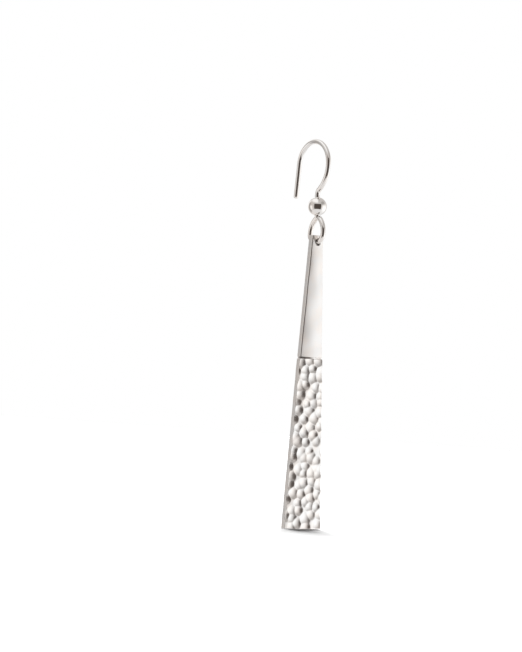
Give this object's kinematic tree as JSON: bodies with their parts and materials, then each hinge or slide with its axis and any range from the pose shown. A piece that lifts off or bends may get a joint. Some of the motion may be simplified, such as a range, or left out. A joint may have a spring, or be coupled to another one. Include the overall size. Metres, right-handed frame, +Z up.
{
  "type": "dangle earring",
  "caption": "Drop earring: ear wire with a closed loop and a ball bead, and a long tapered bar, plain above and hammered below.",
  "frame": {"origin": "under the top of the arch, where the ear wire rests in the ear", "axes": "+Z up, as it hangs; the bar's hammered face looks along -Y and the ear wire's back leg is towards +Y"},
  "size_m": [0.0072, 0.0086, 0.0617],
  "materials": {
    "polished_silver": "polished sterling silver wire and ball",
    "hammered_silver": "sterling silver, polished above the scored line and hammered with small round dimples below it"
  },
  "bodies": {
    "ear_wire": {"ear_hook": "polished_silver", "ball_bead": "polished_silver"},
    "hanging_bar": {"drop_bar": "hammered_silver"}
  },
  "joints": [
    {"name": "bar_swing", "type": "hinge", "parent": "ear_wire", "child": "hanging_bar", "pos_m": [0, -0.00164, -0.01564], "axis": [0, 1, 0], "range_deg": [-140, 140]}
  ]
}
